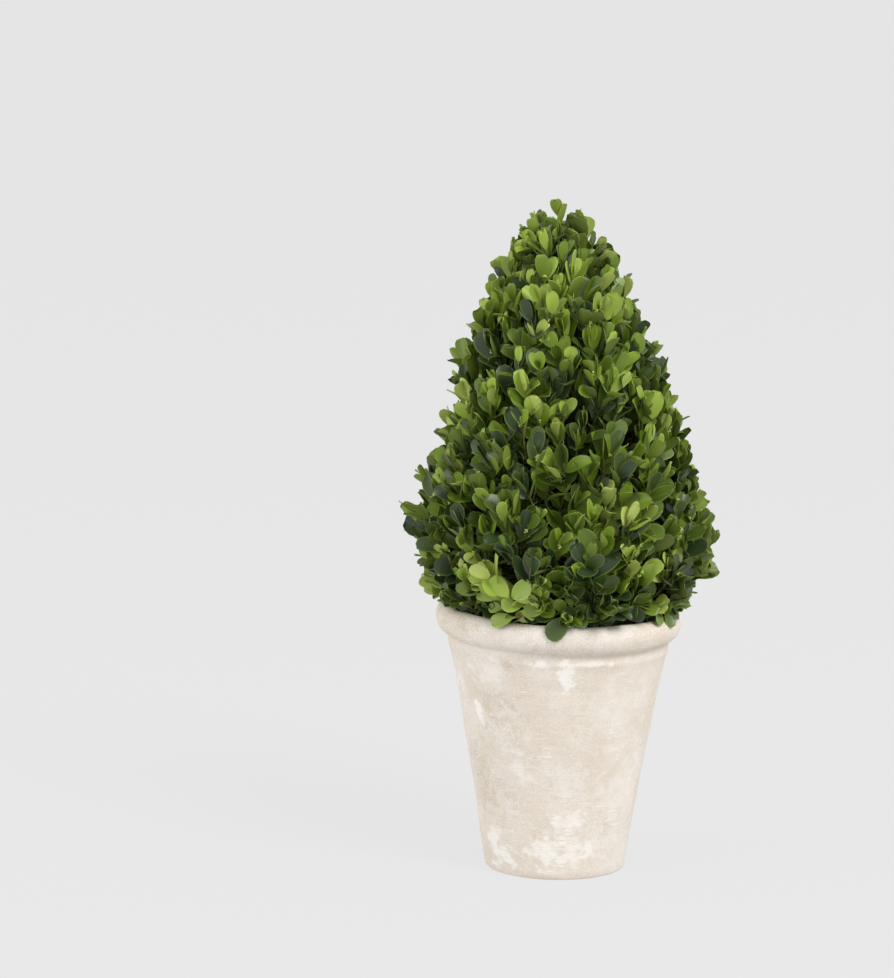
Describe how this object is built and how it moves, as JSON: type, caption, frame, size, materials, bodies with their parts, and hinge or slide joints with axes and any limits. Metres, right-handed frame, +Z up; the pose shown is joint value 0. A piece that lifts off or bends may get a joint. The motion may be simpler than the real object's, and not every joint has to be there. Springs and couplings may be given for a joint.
{
  "type": "potted boxwood cone topiary",
  "caption": "Boxwood clipped to a leafy cone with convex sides, growing over the rolled rim of a flaring whitewashed clay pot.",
  "frame": {"origin": "middle of the pot's flat underside", "axes": "+Z up, -Y towards the front, +X to the right as seen from the front"},
  "size_m": [0.1876, 0.1849, 0.4319],
  "materials": {
    "clay": "unglazed clay under a worn chalky lime wash, matt",
    "potting_mix": "dark crumbly bark mix, matt",
    "bark": "thin fissured grey-brown bark, matt",
    "foliage": "waxy dark green leaves with a soft gloss",
    "young_foliage": "waxy light green leaves with a soft gloss"
  },
  "bodies": {
    "root": {"pot": "clay", "potting_mix": "potting_mix", "stem": "bark", "crown": "foliage", "sprig_front": "young_foliage", "sprig_front_left": "young_foliage", "sprig_right": "young_foliage", "sprig_back_right": "young_foliage", "sprig_back_left": "young_foliage"}
  },
  "joints": []
}
